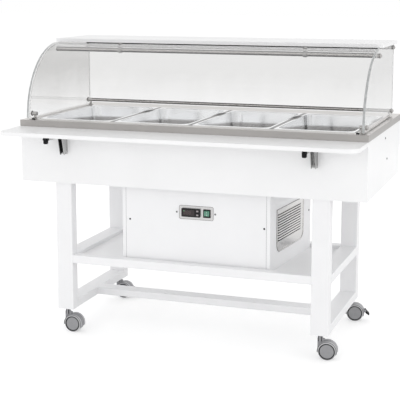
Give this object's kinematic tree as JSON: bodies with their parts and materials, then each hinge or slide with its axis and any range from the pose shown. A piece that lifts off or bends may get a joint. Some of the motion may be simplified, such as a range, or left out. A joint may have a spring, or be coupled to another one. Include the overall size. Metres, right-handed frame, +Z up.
{
  "type": "mobile salad bar",
  "caption": "mobile chilled salad bar with pans in a white cabinet on a castered stand, a curved clear canopy and a folding tray slide",
  "frame": {"origin": "middle of the footprint's bounding box, on the floor", "axes": "+X to the right seen from the guests' side, +Y to the rear (server's side), +Z up"},
  "size_m": [1.42, 0.908, 1.19],
  "materials": {
    "white_panel": "white laminated board with a soft gloss",
    "white_steel": "white powder coat",
    "stainless": "brushed stainless steel",
    "clear_sheet": "clear polished sheet",
    "foam": "rigid foam",
    "copper": "drawn copper tube and fins",
    "black_steel": "black satin paint",
    "dark_steel": "dark zinc and black paint",
    "black_plastic": "moulded black plastic",
    "grey_plastic": "moulded grey plastic",
    "green_plastic": "translucent green plastic",
    "zinc": "bright zinc plate",
    "grey_tread": "grey thermoplastic rubber tread"
  },
  "bodies": {
    "cabinet_and_stand": {"front_panel": "white_panel", "rear_panel": "white_panel", "left_panel": "white_panel", "right_panel": "white_panel", "bottom_panel": "white_panel", "rim_frame": "stainless", "well_liner": "stainless", "well_insulation": "foam", "evaporator_coil": "copper", "pan_bars": "stainless", "left_pane": "clear_sheet", "right_pane": "clear_sheet", "top_board": "white_panel", "canopy_tubes": "stainless", "pane_posts": "stainless", "canopy_bolts": "stainless", "tray_wall_brackets": "stainless", "left_front_leg": "white_steel", "left_rear_leg": "white_steel", "right_front_leg": "white_steel", "right_rear_leg": "white_steel", "foot_rails": "white_steel", "stretcher": "white_steel", "shelf_rails": "white_steel", "shelf_board": "white_panel", "housing_shell": "white_steel", "housing_cover": "white_steel", "side_grille": "stainless", "control_plate": "white_steel", "thermostat": "black_plastic", "switch_frame": "black_plastic", "compressor": "black_steel", "condenser": "copper", "fan_cowl": "black_steel", "caster_stems": "zinc", "screws": "dark_steel"},
    "food_pan_1": {"pan_1": "stainless"},
    "food_pan_2": {"pan_2": "stainless"},
    "food_pan_3": {"pan_3": "stainless"},
    "food_pan_4": {"pan_4": "stainless"},
    "canopy_front": {"curved_pane": "clear_sheet", "pane_clips": "stainless"},
    "tray": {"tray_board": "white_panel", "tray_arms": "stainless"},
    "left_knob": {"left_release_knob": "black_plastic"},
    "right_knob": {"right_release_knob": "black_plastic"},
    "upper_key_cap": {"upper_key": "grey_plastic"},
    "lower_key_cap": {"lower_key": "grey_plastic"},
    "rocker": {"switch_rocker": "green_plastic"},
    "fan": {"fan_rotor": "grey_plastic"},
    "left_front_swivel": {"left_front_fork": "grey_plastic"},
    "right_front_swivel": {"right_front_fork": "grey_plastic"},
    "left_rear_swivel": {"left_rear_fork": "grey_plastic"},
    "right_rear_swivel": {"right_rear_fork": "grey_plastic"},
    "left_front_roll": {"left_front_wheels": "grey_tread"},
    "right_front_roll": {"right_front_wheels": "grey_tread"},
    "left_rear_roll": {"left_rear_wheels": "grey_tread"},
    "right_rear_roll": {"right_rear_wheels": "grey_tread"},
    "left_brake": {"left_brake_pedal": "black_plastic"},
    "right_brake": {"right_brake_pedal": "black_plastic"}
  },
  "joints": [
    {"name": "pan_1_lift", "type": "slide", "parent": "cabinet_and_stand", "child": "food_pan_1", "axis": [0, 0, 1], "range_m": [0, 0.105]},
    {"name": "pan_2_lift", "type": "slide", "parent": "cabinet_and_stand", "child": "food_pan_2", "axis": [0, 0, 1], "range_m": [0, 0.105]},
    {"name": "pan_3_lift", "type": "slide", "parent": "cabinet_and_stand", "child": "food_pan_3", "axis": [0, 0, 1], "range_m": [0, 0.105]},
    {"name": "pan_4_lift", "type": "slide", "parent": "cabinet_and_stand", "child": "food_pan_4", "axis": [0, 0, 1], "range_m": [0, 0.105]},
    {"name": "canopy_front_lift", "type": "hinge", "parent": "cabinet_and_stand", "child": "canopy_front", "pos_m": [0, 0.042, 1.146], "axis": [1, 0, 0], "range_deg": [-50, 0]},
    {"name": "tray_fold", "type": "hinge", "parent": "cabinet_and_stand", "child": "tray", "pos_m": [0, -0.296, 0.829], "axis": [1, 0, 0], "range_deg": [0, 90]},
    {"name": "left_knob_pull", "type": "slide", "parent": "tray", "child": "left_knob", "axis": [0, -1, 0], "range_m": [0, 0.008], "stiffness_N_per_m": 250, "springref_m": -0.008},
    {"name": "right_knob_pull", "type": "slide", "parent": "tray", "child": "right_knob", "axis": [0, -1, 0], "range_m": [0, 0.008], "stiffness_N_per_m": 250, "springref_m": -0.008},
    {"name": "upper_key_press", "type": "slide", "parent": "cabinet_and_stand", "child": "upper_key_cap", "axis": [0, 1, 0], "range_m": [0, 0.0008], "stiffness_N_per_m": 300, "springref_m": -0.0012},
    {"name": "lower_key_press", "type": "slide", "parent": "cabinet_and_stand", "child": "lower_key_cap", "axis": [0, 1, 0], "range_m": [0, 0.0008], "stiffness_N_per_m": 300, "springref_m": -0.0012},
    {"name": "switch_rock", "type": "hinge", "parent": "cabinet_and_stand", "child": "rocker", "pos_m": [0.063, -0.1775, 0.527], "axis": [1, 0, 0], "range_deg": [-8, 8]},
    {"name": "fan_spin", "type": "hinge", "parent": "cabinet_and_stand", "child": "fan", "pos_m": [0.27998, 0.03704, 0.427], "axis": [0.9952, -0.0976, 0], "continuous": true},
    {"name": "left_front_swivel_turn", "type": "hinge", "parent": "cabinet_and_stand", "child": "left_front_swivel", "pos_m": [-0.533, -0.212, 0.08], "axis": [0, 0, 1], "continuous": true},
    {"name": "left_front_wheel_roll", "type": "hinge", "parent": "left_front_swivel", "child": "left_front_roll", "pos_m": [-0.505, -0.212, 0.035], "axis": [0, 1, 0], "continuous": true},
    {"name": "left_rear_swivel_turn", "type": "hinge", "parent": "cabinet_and_stand", "child": "left_rear_swivel", "pos_m": [-0.533, 0.314, 0.08], "axis": [0, 0, 1], "continuous": true},
    {"name": "left_rear_wheel_roll", "type": "hinge", "parent": "left_rear_swivel", "child": "left_rear_roll", "pos_m": [-0.50504, 0.31546, 0.035], "axis": [-0.0523, 0.9986, 0], "continuous": true},
    {"name": "left_brake_press", "type": "hinge", "parent": "left_rear_swivel", "child": "left_brake", "pos_m": [-0.46366, 0.31763, 0.04533], "axis": [-0.0523, 0.9986, 0], "range_deg": [0, 14]},
    {"name": "right_front_swivel_turn", "type": "hinge", "parent": "cabinet_and_stand", "child": "right_front_swivel", "pos_m": [0.533, -0.212, 0.08], "axis": [0, 0, 1], "continuous": true},
    {"name": "right_front_wheel_roll", "type": "hinge", "parent": "right_front_swivel", "child": "right_front_roll", "pos_m": [0.56089, -0.20956, 0.035], "axis": [-0.0872, 0.9962, 0], "continuous": true},
    {"name": "right_rear_swivel_turn", "type": "hinge", "parent": "cabinet_and_stand", "child": "right_rear_swivel", "pos_m": [0.533, 0.314, 0.08], "axis": [0, 0, 1], "continuous": true},
    {"name": "right_rear_wheel_roll", "type": "hinge", "parent": "right_rear_swivel", "child": "right_rear_roll", "pos_m": [0.56079, 0.31741, 0.035], "axis": [-0.1219, 0.9925, 0], "continuous": true},
    {"name": "right_brake_press", "type": "hinge", "parent": "right_rear_swivel", "child": "right_brake", "pos_m": [0.60191, 0.32246, 0.04533], "axis": [-0.1219, 0.9925, 0], "range_deg": [0, 14]}
  ]
}
